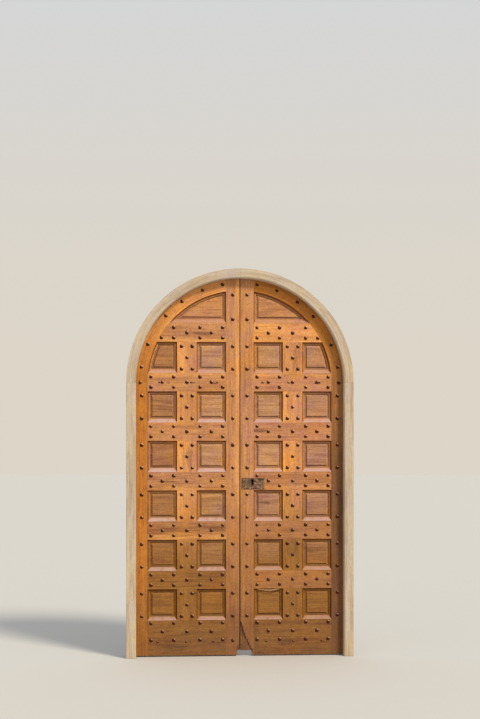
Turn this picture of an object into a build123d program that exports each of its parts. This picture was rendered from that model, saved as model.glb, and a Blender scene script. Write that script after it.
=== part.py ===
from build123d import *
from math import cos, hypot, radians, sin
import os

# Arched double-leaf oak door: two panelled and studded leaves with a round head, hung on
# driven pintles in an arched frame, with strap hinges, two slide bolts and a rim lock behind.
# Millimetres. X runs to the right seen from outside, +Y into the building, +Z up.
# The origin is at the threshold, in the middle of the whole door's footprint.

os.makedirs("parts", exist_ok=True)

# Doorway and frame
opening_radius = 686.0      # half the clear width, and the radius of the round head
spring_height = 1810.0      # centre of the arch above the threshold
frame_width = 65.0
frame_depth = 60.0
frame_chamfer = 8.0         # on the arris round the opening

# Gaps round the leaves
floor_gap = 8.0             # threshold to the leaves' feet
meeting_gap = 5.0           # between the two leaves
frame_overlap = 22.0        # leaf behind the frame
seat_gap = 0.3              # frame's back to the leaves' front

# Leaf framing: stiles, rails and muntins with grooved edges
framing_thickness = 38.0
lining_thickness = 18.0
stile_line = 92.0           # centre line of the door to the first panels
outer_line = 98.0           # leaf's outer edge to the panels, and width of the curved head
muntin_width = 130.0
row_count = 6
lock_rail_number = 4        # the rail beside the lock
head_rail_rise = 393.5      # springing line to the top rail's upper edge
rail_height = 119.5
top_rail_height = 125.0
bottom_rail_height = 231.0
groove_depth = 10.0         # into the edge
groove_front = 22.0         # groove's front wall behind the face
groove_width = 10.0
joint_clearance = 0.3       # at the ends and sides of tongues and tenons
tenon_length = 40.0
tenon_shoulder = 20.0       # rail's edge to its tenon
foot_tenon_height = 102.0   # the bottom rail's tenon starts this far up
head_joint_angle = 48.0     # joint between the two pieces of the curved head, from level
head_joint_gap = 0.4

# Planted moulding round each panel, with a wide water-shedding slope below
slope_width = 12.0
slope_depth = 14.0
sill_width = 24.0
ledge_width = 5.0

# Raised panels
margin_width = 8.0
field_bevel = 8.0
field_rise = 7.0

# Vertical boards behind the framing
board_count = 6
board_gap = 1.0
lining_gap = 1.0            # between the leaves' boards, which close the gap behind the stiles

# Forged studs
stud_size = 19.0
stud_rise = 9.5
stud_rows = (28.0, 61.0, 96.0)          # above a rail's lower edge
foot_stud_rows = (102.0, 158.0, 214.0)  # above the leaf's foot
corner_stud_inset = 22.0                # from a column's sides
last_top_rail_stud = 519.0
muntin_stud_spread = 35.5               # either side of a muntin's middle
hinge_stud_inset = 59.0                 # leaf's outer edge to the hinge stile's studs
row_stud_inset = 28.5                   # below and above a row's edges
meeting_top_studs = (419.0, 581.0)      # above the springing line
left_foot_stud = 96.0
head_stud_angles = (0.0, 9.0, 22.5, 42.0, 54.4, 68.0, 80.0)  # from level

# Strap hinges, their bolts and their pintles
strap_width = 46.0
strap_tip_width = 30.0
strap_thickness = 6.0
strap_tip_x = 112.0
pin_radius = 8.0
pin_clearance = 0.05
eye_wall = 6.0
eye_gap = 3.0               # leaf's edge to the eye
eye_rest_gap = 0.3          # eye above the pintle's shoulder
pintle_size = 20.0
pintle_spike = 45.0         # driven into the jamb
pin_overrun = 6.0           # above the eye
upper_strap_rise = 2.0      # above the springing line
lower_strap_height = 90.0   # above the leaf's foot
upper_bolt_lines = (150.0, 322.0, 532.0)
lower_bolt_lines = (176.0, 356.0, 545.0)
bolt_head_size = 13.0
bolt_head_rise = 6.0
nut_size = 20.0
nut_height = 8.0

# Slide bolts behind the left leaf
slide_line = 50.0           # centre line of the door to the bolts
slide_width = 20.0
slide_thickness = 10.0
slide_clearance = 0.3
slide_standoff = 4.0        # lining to the bolt
slide_travel = 35.0
top_slide_length = 620.0
foot_slide_length = 420.0
foot_slide_rest = 4.0       # above the leaf's foot at rest
knob_radius = 8.0
knob_length = 20.0
knob_inset = 25.0
guide_width = 40.0
guide_height = 22.0
guide_wall = 6.0
guide_inset = 80.0          # from a bolt's end to its first guide
keeper_thickness = 8.0
keeper_gap = 3.0            # leaf's head to the keeper
keeper_foot = 30.0
slide_rest_gap = 12.0       # top bolt's end below the keeper at rest

# Rim lock behind the right leaf, with its keeper on the left leaf
lock_edge = 8.0             # centre line to the case and to the keeper
case_width = 162.0
case_height = 120.0
case_depth = 38.0
case_corner = 6.0
lock_bolt_height = 30.0
lock_bolt_thickness = 12.0
lock_bolt_length = 110.0
lock_bolt_rise = 34.0       # above the keyhole
lock_travel = 25.0
lock_clearance = 0.3
lock_keeper_width = 52.0
lock_keeper_wall = 8.0
key_pocket = 22.0           # keyhole's depth in the case

# Worn patch let in over the lock, and the keyhole
patch_left = 10.0
patch_right = 163.0
patch_rise = 3.0            # above the lock rail's lower edge
patch_height = 76.0
patch_thickness = 12.0
patch_clearance = 0.4
keyhole_line = 83.0
keyhole_rise = 53.0         # above the lock rail's lower edge
keyhole_radius = 8.0
keyhole_slot_width = 9.0
keyhole_length = 36.0

# Cut-out at the foot of the meeting stiles, and the broken corner beside it
slot_right = 82.0
slot_left = 18.5
slot_height = 30.0          # above the leaves' feet
crack = ((10.5, 206.0), (26.0, 149.0), (36.0, 122.0), (55.0, 82.0), (72.0, 46.0), (82.0, 36.0))
crack_top = 228.0
crack_gap = 1.5
broken_setback = 3.0
chip = ((7.0, 30.0), (30.0, 30.0), (21.0, 47.0), (10.0, 69.0))
chip_depth = 6.0

# Worked-out sizes
frame_radius = opening_radius + frame_width
leaf_radius = opening_radius + frame_overlap
leaf_foot = floor_gap
leaf_edge = meeting_gap / 2
leaf_thickness = framing_thickness + lining_thickness
grid_radius = leaf_radius - outer_line
column_width = (grid_radius - stile_line - muntin_width) / 2
outer_column = stile_line + column_width + muntin_width
grid_height = spring_height + head_rail_rise - leaf_foot
rail_heights = bottom_rail_height + (row_count - 1) * rail_height + top_rail_height
row_height = (grid_height - rail_heights) / row_count
row_pitch = row_height + rail_height
groove_back = groove_front + groove_width
tongue_reach = groove_depth - joint_clearance
tongue_width = groove_width - joint_clearance
overall_depth = frame_depth + seat_gap + leaf_thickness + case_depth
leaf_front = frame_depth + seat_gap - overall_depth / 2
eye_radius = pin_radius + pin_clearance + eye_wall
hinge_line = leaf_radius + eye_gap + eye_radius
hinge_depth = leaf_thickness + strap_thickness / 2
slide_depth = leaf_thickness + slide_standoff + slide_thickness / 2
lock_depth = leaf_thickness + case_depth / 2
upper_strap_height = spring_height + upper_strap_rise - leaf_foot
rows_below_lock = row_count - lock_rail_number
lock_rail_low = leaf_foot + bottom_rail_height + rows_below_lock * row_pitch + row_height
patch_low = lock_rail_low + patch_rise
patch_high = patch_low + patch_height
keyhole_z = lock_rail_low + keyhole_rise
lock_bolt_z = keyhole_z + lock_bolt_rise
stile_stud_line = (leaf_edge + stile_line) / 2
muntin_middle = stile_line + column_width + muntin_width / 2
hinge_stud_line = leaf_radius - hinge_stud_inset
head_stud_radius = (grid_radius + leaf_radius) / 2
rail_stud_corners = (stile_line + corner_stud_inset, stile_line + column_width - corner_stud_inset,
                     outer_column + corner_stud_inset, grid_radius - corner_stud_inset)
rail_stud_middles = (stile_line + column_width / 2, muntin_middle, outer_column + column_width / 2)
row_stud_drops = (row_stud_inset, row_height - row_stud_inset)


def leaf_plane(depth):
    """Upright plane facing outwards, a depth behind the leaves' front face."""
    return Plane.XZ.offset(-(leaf_front + depth))


def save(piece, name):
    """Labels a finished piece and writes its file."""
    piece.part.label = name
    export_step(piece.part, "parts/" + name + ".step")


def mirrored(piece):
    """The left leaf's copy of a piece of the right leaf."""
    with BuildPart() as copy:
        mirror(piece.part, about=Plane.YZ)
    return copy


def save_pair(piece, name):
    """Writes a piece of the right leaf and the left leaf's mirror image of it."""
    save(piece, "right_" + name)
    save(mirrored(piece), "left_" + name)


def arch_outline(radius, mode=Mode.ADD):
    """Doorway outline with a round head, down to the threshold, inside a sketch."""
    with BuildLine() as outline:
        Polyline((-radius, spring_height), (-radius, 0), (radius, 0), (radius, spring_height))
        ThreePointArc((radius, spring_height), (0, spring_height + radius), (-radius, spring_height))
    make_face(outline.edges(), mode=mode)


def box_outline(x_low, x_high, z_low, z_high, mode=Mode.ADD):
    """Rectangle from its four sides, inside a sketch."""
    with Locations(((x_low + x_high) / 2, (z_low + z_high) / 2)):
        Rectangle(x_high - x_low, z_high - z_low, mode=mode)


def slab(x_low, x_high, z_low, z_high, front, back, mode=Mode.ADD, radius=None):
    """Board between two depths, cut to the arch outline of a radius where one is given."""
    with BuildSketch(leaf_plane(back)) as section:
        box_outline(x_low, x_high, z_low, z_high)
        if radius:
            arch_outline(radius, Mode.INTERSECT)
    extrude(section.sketch, amount=back - front, mode=mode)


def row_bottom(row):
    """Lower edge of a row of panels, counted from 1 at the top."""
    return leaf_foot + bottom_rail_height + (row_count - row) * row_pitch


def row_top(row):
    return row_bottom(row) + row_height


def row_cells(row):
    """The inner and the outer panel opening of a row: left, right, low and high sides."""
    inner_edge = stile_line + column_width
    low, high = row_bottom(row), row_top(row)
    inner = (stile_line, inner_edge, low, high)
    outer = (inner_edge + muntin_width, grid_radius, low, high)
    return inner, outer


head_rail_top = row_top(1) + top_rail_height
head_cell = (stile_line, grid_radius, head_rail_top, spring_height + grid_radius)


def cell_outline(cell, inset, sill=0.0):
    """A panel opening drawn in by an inset, and by a further sill below, inside a sketch."""
    x_low, x_high, z_low, z_high = cell
    box_outline(x_low + inset, x_high - inset, z_low + inset + sill, z_high - inset)
    arch_outline(grid_radius - inset, Mode.INTERSECT)


# Frame

def jamb():
    """Right jamb, straight up to the springing line."""
    with BuildPart() as piece:
        slab(opening_radius, frame_radius, 0, spring_height, -seat_gap - frame_depth, -seat_gap)
        front_edges = piece.edges().filter_by(Axis.Z).group_by(Axis.Y)[0]
        chamfer(front_edges.sort_by(Axis.X)[0], frame_chamfer)
        for strap_height in (upper_strap_height, lower_strap_height):
            spike_socket(strap_height)
    return piece


def spike_socket(strap_height):
    """Square hole in the jamb's back that holds a pintle's spike."""
    low, high = shoulder_span(strap_height)
    half = pintle_size / 2
    slab(hinge_line - half, hinge_line + half, low, high,
         -seat_gap - pintle_spike, -seat_gap, Mode.SUBTRACT)


def shoulder_span(strap_height):
    """Low and high side of the pintle's bar, just below the strap's eye."""
    high = leaf_foot + strap_height - strap_width / 2 - eye_rest_gap
    return high - pintle_size, high


def frame_head():
    """Right half of the frame's round head."""
    with BuildPart() as piece:
        with BuildSketch(leaf_plane(-seat_gap)) as section:
            arch_outline(frame_radius)
            arch_outline(opening_radius, Mode.SUBTRACT)
            box_outline(0, frame_radius, spring_height, spring_height + frame_radius, Mode.INTERSECT)
        extrude(section.sketch, amount=frame_depth)
        arcs = piece.edges().filter_by(GeomType.CIRCLE).sort_by(Axis.Y)[:2]
        chamfer(arcs.sort_by(SortBy.LENGTH)[0], frame_chamfer)
    return piece


def pintle(strap_height):
    """Driven pintle of the right jamb: spiked bar with an upright pin."""
    low, high = shoulder_span(strap_height)
    half = pintle_size / 2
    slab(hinge_line - half, hinge_line + half, low, high,
         -seat_gap - pintle_spike, hinge_depth + half)
    with BuildSketch(Plane.XY.offset(high)) as section:
        with Locations((hinge_line, leaf_front + hinge_depth)):
            Circle(pin_radius)
    extrude(section.sketch, amount=eye_rest_gap + strap_width + pin_overrun)


def pintles():
    """All four pintles, two to a jamb."""
    with BuildPart() as piece:
        for strap_height in (upper_strap_height, lower_strap_height):
            pintle(strap_height)
        mirror(about=Plane.YZ)
    return piece


def keeper_bottom():
    """Underside of the top bolt's keeper, clear of the leaf's head."""
    return spring_height + leaf_radius + keeper_gap


def top_bolt_keeper():
    """Angle bracket behind the frame's head, with a slot for the top bolt."""
    low = keeper_bottom()
    x_low, x_high = -slide_line - guide_width / 2, -slide_line + guide_width / 2
    back = slide_depth + slide_thickness / 2 + guide_wall
    with BuildPart() as piece:
        slab(x_low, x_high, low, low + keeper_thickness, -seat_gap, back)
        slab(x_low, x_high, low, low + keeper_foot, -seat_gap, -seat_gap + keeper_thickness)
        slide_hole(-slide_line, low - 1, low + keeper_thickness + 1)
    return piece


def slide_hole(x_centre, z_low, z_high):
    """Upright hole that a slide bolt runs in."""
    half_width = slide_width / 2 + slide_clearance
    half_depth = slide_thickness / 2 + slide_clearance
    slab(x_centre - half_width, x_centre + half_width, z_low, z_high,
         slide_depth - half_depth, slide_depth + half_depth, Mode.SUBTRACT)


# Leaf framing

def outer_groove():
    """Panel groove round the inner edges of the stiles and the curved head."""
    slab(stile_line - groove_depth, grid_radius + groove_depth,
         0, spring_height + grid_radius + groove_depth,
         groove_front, groove_back, Mode.SUBTRACT, grid_radius + groove_depth)


def rail_span(rail):
    """Low and high edge of a rail, numbered from 1 at the top; the last one is the foot rail."""
    if rail > row_count:
        return leaf_foot, row_bottom(row_count)
    low = row_top(rail)
    high = head_rail_top if rail == 1 else row_bottom(rail - 1)
    return low, high


def tenon_span(rail):
    """Low and high side of a rail's tenons."""
    low, high = rail_span(rail)
    if rail > row_count:
        return low + foot_tenon_height, high - tenon_shoulder
    return low + tenon_shoulder, high - tenon_shoulder


def mortises(rails, clearance=joint_clearance, mode=Mode.SUBTRACT):
    """Tenon holes beside the groove, on both sides of the panels."""
    for rail in rails:
        low, high = tenon_span(rail)
        slab(stile_line - tenon_length - clearance, stile_line,
             low - clearance, high + clearance, groove_front, groove_back, mode)
        slab(grid_radius, grid_radius + tenon_length + clearance,
             low - clearance, high + clearance, groove_front, groove_back, mode)


def meeting_stile():
    """Right leaf's meeting stile, from foot to head, before the lock and the foot are cut."""
    with BuildPart() as piece:
        slab(leaf_edge, stile_line, leaf_foot, spring_height + leaf_radius,
             0, framing_thickness, radius=leaf_radius)
        outer_groove()
        mortises(range(1, row_count + 2))
    return piece


def right_meeting_stile(stile):
    """Adds the patch's bed, the keyhole, the foot cut-out and the broken corner."""
    with BuildPart() as piece:
        add(stile.part)
        patch_bed()
        keyhole(0, framing_thickness)
        foot_slot(slot_right)
        with BuildSketch(leaf_plane(framing_thickness)) as section:
            broken_outline(0)
        extrude(section.sketch, amount=framing_thickness, mode=Mode.SUBTRACT)
    return piece


def left_meeting_stile(stile):
    """Mirror image with its own foot cut-out and chipped corner."""
    with BuildPart() as piece:
        mirror(stile.part, about=Plane.YZ)
        foot_slot(-slot_left)
        with BuildSketch(leaf_plane(chip_depth)) as section:
            with BuildLine() as outline:
                Polyline([(-x, leaf_foot + z) for x, z in chip], close=True)
            make_face(outline.edges())
        extrude(section.sketch, amount=chip_depth, mode=Mode.SUBTRACT)
    return piece


def foot_slot(far_side):
    """Cut-out at the foot, from the centre line to one side, through the whole leaf."""
    slab(min(0, far_side), max(0, far_side), 0, leaf_foot + slot_height,
         0, leaf_thickness, Mode.SUBTRACT)


def broken_outline(shrink):
    """Corner of the right stile split off along the crack, inside a sketch."""
    points = [(leaf_edge, leaf_foot + crack_top - 3 * shrink)]
    points += [(x - shrink, leaf_foot + z - shrink) for x, z in crack]
    points += [(slot_right - shrink, leaf_foot + slot_height), (leaf_edge, leaf_foot + slot_height)]
    with BuildLine() as outline:
        Polyline(points, close=True)
    make_face(outline.edges())


def split_foot():
    """The split-off corner, still in place but sunk a little behind the face."""
    with BuildPart() as piece:
        with BuildSketch(leaf_plane(framing_thickness)) as section:
            broken_outline(crack_gap)
        extrude(section.sketch, amount=framing_thickness - broken_setback)
    return piece


def hinge_stile():
    """Outer stile, from the foot to the springing line."""
    with BuildPart() as piece:
        slab(grid_radius, leaf_radius, leaf_foot, spring_height, 0, framing_thickness)
        outer_groove()
        mortises(range(2, row_count + 2))
    return piece


def arch_rail():
    """Curved head of the leaf, in two pieces that meet on a radial joint."""
    with BuildPart() as piece:
        with BuildSketch(leaf_plane(framing_thickness)) as section:
            arch_outline(leaf_radius)
            arch_outline(grid_radius, Mode.SUBTRACT)
            box_outline(stile_line, leaf_radius, spring_height, spring_height + leaf_radius,
                        Mode.INTERSECT)
            with Locations(Location((0, spring_height), head_joint_angle)):
                Rectangle(2 * leaf_radius, head_joint_gap, mode=Mode.SUBTRACT)
        extrude(section.sketch, amount=framing_thickness)
        outer_groove()
        mortises([2])
    return piece


def rail(number):
    """Rail with grooved edges, stub tongues in the stiles' grooves and a tenon at each end."""
    low, high = rail_span(number)
    with BuildPart() as piece:
        slab(stile_line, grid_radius, low, high, 0, framing_thickness, radius=grid_radius)
        reach = tongue_reach
        slab(stile_line - reach, grid_radius + reach, low, high,
             groove_front, groove_front + tongue_width, radius=grid_radius + reach)
        groove_left, groove_right = stile_line - groove_depth, grid_radius + groove_depth
        slab(groove_left, groove_right, high - groove_depth, high,
             groove_front, groove_back, Mode.SUBTRACT)
        if number <= row_count:
            slab(groove_left, groove_right, low, low + groove_depth,
                 groove_front, groove_back, Mode.SUBTRACT)
        tenon_low, tenon_high = tenon_span(number)
        tenon_back = groove_front + tongue_width
        slab(stile_line - tenon_length, stile_line, tenon_low, tenon_high, groove_front, tenon_back)
        if number > 1:
            slab(grid_radius, grid_radius + tenon_length, tenon_low, tenon_high,
                 groove_front, tenon_back)
    return piece


def lock_rail(plain_rail):
    """The right leaf's rail at the lock, bedded for the patch and bored for the key."""
    with BuildPart() as piece:
        add(plain_rail.part)
        patch_bed()
        keyhole(0, framing_thickness)
    return piece


def muntins():
    """Short uprights between the rails, grooved at the sides and tongued at the ends."""
    left = stile_line + column_width
    right = left + muntin_width
    with BuildPart() as piece:
        for row in range(1, row_count + 1):
            low, high = row_bottom(row), row_top(row)
            slab(left, right, low, high, 0, framing_thickness)
            slab(left, left + groove_depth, low, high, groove_front, groove_back, Mode.SUBTRACT)
            slab(right - groove_depth, right, low, high, groove_front, groove_back, Mode.SUBTRACT)
            slab(left + groove_depth, right - groove_depth, low - tongue_reach, high + tongue_reach,
                 groove_front, groove_front + tongue_width)
    return piece


# Panels and mouldings

def is_straight(cell):
    """Whether the round head leaves an opening's outline alone."""
    x_low, x_high, z_low, z_high = cell
    return hypot(x_high, max(z_high - spring_height, 0)) <= grid_radius


def sloped_block(cell, front, back, mode=Mode.ADD):
    """Block whose sides slope between two depths, each with its inset and further sill."""
    front_depth, front_inset, front_sill = front
    back_depth, back_inset, back_sill = back
    if is_straight(cell):
        x_low, x_high, z_low, z_high = cell
        width = x_high - x_low - 2 * front_inset
        height = z_high - z_low - 2 * front_inset - front_sill
        side = back_inset - front_inset
        foot = side + back_sill - front_sill
        corner = (x_low + min(front_inset, back_inset), leaf_front + front_depth,
                  z_low + min(front_inset + front_sill, back_inset + back_sill))
        with Locations(corner):
            Wedge(width, back_depth - front_depth, height, side, foot, width - side, height - side,
                  align=(Align.MIN, Align.MIN, Align.MIN), mode=mode)
    else:
        with BuildSketch(leaf_plane(front_depth)) as section:
            cell_outline(cell, front_inset, front_sill)
        with BuildSketch(leaf_plane(back_depth)) as far_section:
            cell_outline(cell, back_inset, back_sill)
        loft([section.sketch, far_section.sketch], ruled=True, mode=mode)


def panel(cell):
    """Raised panel, tongued all round, with a bevelled field."""
    margin = slope_width + ledge_width + margin_width
    extra_sill = sill_width - slope_width
    with BuildSketch(leaf_plane(groove_front + tongue_width)) as section:
        cell_outline(cell, -tongue_reach)
    extrude(section.sketch, amount=tongue_width)
    sloped_block(cell, (groove_front - field_rise, margin + field_bevel, extra_sill),
                 (groove_front, margin, extra_sill))


def moulding(cell):
    """Planted moulding round an opening: slopes, a narrow ledge and the wide sill below."""
    extra_sill = sill_width - slope_width
    with BuildSketch(leaf_plane(groove_front)) as section:
        cell_outline(cell, 0)
    extrude(section.sketch, amount=groove_front)
    sloped_block(cell, (0, 0, 0), (slope_depth, slope_width, extra_sill), Mode.SUBTRACT)
    with BuildSketch(leaf_plane(groove_front)) as section:
        cell_outline(cell, slope_width + ledge_width, extra_sill)
    extrude(section.sketch, amount=groove_front - slope_depth, mode=Mode.SUBTRACT)


def head_panel():
    """Quarter-round panel below the curved head."""
    with BuildPart() as piece:
        panel(head_cell)
    return piece


def row_panels(row):
    """The two panels of a row."""
    with BuildPart() as piece:
        for cell in row_cells(row):
            panel(cell)
    return piece


def mouldings():
    """Mouldings of all the leaf's panels."""
    with BuildPart() as piece:
        moulding(head_cell)
        for row in range(1, row_count + 1):
            for cell in row_cells(row):
                moulding(cell)
    return piece


def lining_boards():
    """Upright boards nailed behind the framing."""
    lining_edge = lining_gap / 2
    span = leaf_radius - lining_edge
    board_width = (span - (board_count - 1) * board_gap) / board_count
    with BuildPart() as piece:
        for board in range(board_count):
            left = lining_edge + board * (board_width + board_gap)
            slab(left, left + board_width, leaf_foot, spring_height + leaf_radius,
                 framing_thickness, leaf_thickness, radius=leaf_radius)
    return piece


def right_lining(boards):
    """Right leaf's boards with the keyhole and the foot cut-out."""
    with BuildPart() as piece:
        add(boards.part)
        keyhole(framing_thickness, leaf_thickness)
        foot_slot(slot_right)
    return piece


def left_lining(boards):
    """Left leaf's boards with their foot cut-out."""
    with BuildPart() as piece:
        mirror(boards.part, about=Plane.YZ)
        foot_slot(-slot_left)
    return piece


# Studs and bolts

def stud_places():
    """Stud positions of a leaf: distance from the centre line and height above its foot."""
    places = []
    for number in range(2, row_count + 1):
        edge = row_top(number) - leaf_foot
        places += [(x, edge + stud_rows[0]) for x in rail_stud_corners]
        places += [(x, edge + stud_rows[1]) for x in rail_stud_middles]
        places += [(x, edge + stud_rows[2]) for x in rail_stud_corners]
    edge = row_top(1) - leaf_foot
    places += [(x, edge + stud_rows[0]) for x in rail_stud_corners[:3]]
    places += [(last_top_rail_stud, edge + stud_rows[0])]
    places += [(x, edge + stud_rows[1]) for x in rail_stud_middles[:2]]
    places += [(x, edge + stud_rows[2]) for x in rail_stud_corners[:3]]
    places += [(x, foot_stud_rows[0]) for x in rail_stud_corners]
    places += [(x, foot_stud_rows[1]) for x in rail_stud_middles]
    places += [(x, foot_stud_rows[2]) for x in rail_stud_corners]
    muntin_pair = (muntin_middle - muntin_stud_spread, muntin_middle + muntin_stud_spread)
    for row in range(1, row_count + 1):
        top = row_top(row) - leaf_foot
        places += [(x, top - drop) for x in muntin_pair for drop in row_stud_drops]
        places += [(muntin_middle, top - row_height / 2)]
        places += [(stile_stud_line, top - drop) for drop in row_stud_drops]
        if row > 1:
            places += [(hinge_stud_line, top - drop) for drop in row_stud_drops]
    springing = spring_height - leaf_foot
    places += [(stile_stud_line, springing + rise) for rise in meeting_top_studs]
    for angle in head_stud_angles:
        reach = head_stud_radius
        places.append((reach * cos(radians(angle)), springing + reach * sin(radians(angle))))
    return places


def pyramid(base, rise):
    """Pyramidal head of a forged stud or bolt, standing out of the leaves' front face."""
    half = base / 2
    with BuildPart() as head:
        with Locations((0, leaf_front - rise / 2, 0)):
            Wedge(base, rise, base, half, half, half, half, rotation=(180, 0, 0))
    return head.part


def nut():
    """Square nut of a strap's bolt, on the back of the strap."""
    with BuildPart() as block:
        with BuildSketch(leaf_plane(leaf_thickness + strap_thickness + nut_height)) as section:
            Rectangle(nut_size, nut_size)
        extrude(section.sketch, amount=nut_height)
    return block.part


def bolt_places():
    """Positions of the strap bolts of a leaf."""
    upper = [(x, upper_strap_height) for x in upper_bolt_lines]
    lower = [(x, lower_strap_height) for x in lower_bolt_lines]
    return upper + lower


def fasteners(extra=(), missing=()):
    """Studs and strap bolts of the right leaf, with a few places added or left bare."""
    studs = [place for place in stud_places() + list(extra) if place not in missing]
    with BuildPart() as piece:
        with Locations([(x, 0, leaf_foot + height) for x, height in studs]):
            add(pyramid(stud_size, stud_rise))
        with Locations([(x, 0, leaf_foot + height) for x, height in bolt_places()]):
            add(pyramid(bolt_head_size, bolt_head_rise))
            add(nut())
    return piece


# Strap hinges

def strap(height):
    """Tapered strap with a pointed tip and a rolled eye round the pintle's pin."""
    z = leaf_foot + height
    half, half_tip = strap_width / 2, strap_tip_width / 2
    back = leaf_thickness + strap_thickness
    with BuildPart() as piece:
        with BuildSketch(leaf_plane(back)) as section:
            with BuildLine() as outline:
                Polyline((strap_tip_x, z), (strap_tip_x + strap_tip_width, z - half_tip),
                         (hinge_line, z - half), (hinge_line, z + half),
                         (strap_tip_x + strap_tip_width, z + half_tip), close=True)
            make_face(outline.edges())
        extrude(section.sketch, amount=strap_thickness)
        with BuildSketch(Plane.XY.offset(z - half)) as section:
            with Locations((hinge_line, leaf_front + hinge_depth)):
                Circle(eye_radius)
        extrude(section.sketch, amount=strap_width)
        with BuildSketch(Plane.XY.offset(z - half)) as section:
            with Locations((hinge_line, leaf_front + hinge_depth)):
                Circle(pin_radius + pin_clearance)
        extrude(section.sketch, amount=strap_width, mode=Mode.SUBTRACT)
    return piece


# Slide bolts

def slide_bolt(low, length, knob_height):
    """Flat bar with a turned knob standing out of its back, on the left leaf."""
    half_width, half_depth = slide_width / 2, slide_thickness / 2
    with BuildPart() as piece:
        slab(-slide_line - half_width, -slide_line + half_width, low, low + length,
             slide_depth - half_depth, slide_depth + half_depth)
        with BuildSketch(leaf_plane(slide_depth + half_depth + knob_length)) as section:
            with Locations((-slide_line, knob_height)):
                Circle(knob_radius)
        extrude(section.sketch, amount=knob_length)
    return piece


def top_slide_low():
    return keeper_bottom() - slide_rest_gap - top_slide_length


def top_bolt():
    """Top bolt of the left leaf, drawn down."""
    low = top_slide_low()
    return slide_bolt(low, top_slide_length, low + knob_inset)


def bottom_bolt():
    """Bottom bolt of the left leaf, drawn up."""
    low = leaf_foot + foot_slide_rest
    return slide_bolt(low, foot_slide_length, low + foot_slide_length - knob_inset)


def bolt_guides():
    """Staples on the left leaf's boards that the two bolts slide in."""
    top_end = top_slide_low() + top_slide_length
    foot_end = leaf_foot + foot_slide_rest
    centres = [top_end - guide_inset, top_end - top_slide_length / 2,
               top_slide_low() + guide_inset + slide_travel,
               foot_end + guide_inset, foot_end + foot_slide_length - guide_inset - slide_travel]
    back = slide_depth + slide_thickness / 2 + guide_wall
    half_width, half_height = guide_width / 2, guide_height / 2
    with BuildPart() as piece:
        for centre in centres:
            slab(-slide_line - half_width, -slide_line + half_width,
                 centre - half_height, centre + half_height, leaf_thickness, back)
            slide_hole(-slide_line, centre - guide_height, centre + guide_height)
    return piece


# Lock

def keyhole(front, back):
    """Keyhole between two depths: round at the top, with a narrow slot below."""
    centre = keyhole_z + keyhole_length / 2 - keyhole_radius
    with BuildSketch(leaf_plane(back)) as section:
        with Locations((keyhole_line, centre)):
            Circle(keyhole_radius)
        half = keyhole_slot_width / 2
        box_outline(keyhole_line - half, keyhole_line + half,
                    keyhole_z - keyhole_length / 2, centre)
    extrude(section.sketch, amount=back - front, mode=Mode.SUBTRACT)


def patch_bed():
    """Shallow bed of the let-in patch."""
    slab(patch_left, patch_right, patch_low, patch_high, 0, patch_thickness, Mode.SUBTRACT)


def lock_patch():
    """Worn board let in over the lock, pierced by the keyhole."""
    gap = patch_clearance
    with BuildPart() as piece:
        slab(patch_left + gap, patch_right - gap, patch_low + gap, patch_high - gap,
             0, patch_thickness)
        keyhole(0, patch_thickness)
    return piece


def lock_channel(x_low, x_high):
    """Channel that the lock bolt runs in."""
    half_height = lock_bolt_height / 2 + lock_clearance
    half_depth = lock_bolt_thickness / 2 + lock_clearance
    slab(x_low, x_high, lock_bolt_z - half_height, lock_bolt_z + half_height,
         lock_depth - half_depth, lock_depth + half_depth, Mode.SUBTRACT)


def lock_case():
    """Rim lock's case, with the bolt's channel and the key's pocket."""
    with BuildPart() as piece:
        slab(lock_edge, lock_edge + case_width, keyhole_z - case_height / 2,
             keyhole_z + case_height / 2, leaf_thickness, leaf_thickness + case_depth)
        chamfer(piece.edges().filter_by(Axis.Y), case_corner)
        lock_channel(lock_edge, lock_edge + lock_bolt_length + lock_clearance)
        keyhole(leaf_thickness, leaf_thickness + key_pocket)
    return piece


def lock_bolt():
    """Square-ended bolt of the rim lock, drawn back into the case."""
    half_height, half_depth = lock_bolt_height / 2, lock_bolt_thickness / 2
    with BuildPart() as piece:
        slab(lock_edge, lock_edge + lock_bolt_length, lock_bolt_z - half_height,
             lock_bolt_z + half_height, lock_depth - half_depth, lock_depth + half_depth)
    return piece


def lock_keeper():
    """Box keeper on the left leaf that receives the lock bolt."""
    half_height = lock_bolt_height / 2 + lock_keeper_wall
    back = lock_depth + lock_bolt_thickness / 2 + lock_keeper_wall
    with BuildPart() as piece:
        slab(-lock_edge - lock_keeper_width, -lock_edge, lock_bolt_z - half_height,
             lock_bolt_z + half_height, leaf_thickness, back)
        lock_channel(-lock_edge - lock_travel - lock_keeper_wall, -lock_edge)
    return piece


# Frame pieces
right_jamb = jamb()
save(right_jamb, "right_jamb")
save(mirrored(right_jamb), "left_jamb")
right_head = frame_head()
save(right_head, "right_arch_segment")
save(mirrored(right_head), "left_arch_segment")
save(pintles(), "pintles")
save(top_bolt_keeper(), "top_bolt_keeper")

# Leaf framing
plain_stile = meeting_stile()
save(right_meeting_stile(plain_stile), "right_meeting_stile")
save(left_meeting_stile(plain_stile), "left_meeting_stile")
save(split_foot(), "right_split_foot")
save_pair(hinge_stile(), "hinge_stile")
save_pair(arch_rail(), "arch_rail")
save_pair(rail(row_count + 1), "bottom_rail")
for number in range(1, row_count + 1):
    plain_rail = rail(number)
    if number == lock_rail_number:
        save(mirrored(plain_rail), "left_rail_" + str(number))
        save(lock_rail(plain_rail), "right_rail_" + str(number))
    else:
        save_pair(plain_rail, "rail_" + str(number))
save_pair(muntins(), "muntins")

# Panels, mouldings and boards
save_pair(head_panel(), "arch_panel")
for row in range(1, row_count + 1):
    save_pair(row_panels(row), "panels_row_" + str(row))
save_pair(mouldings(), "mouldings")
plain_boards = lining_boards()
save(right_lining(plain_boards), "right_lining_boards")
save(left_lining(plain_boards), "left_lining_boards")

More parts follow.
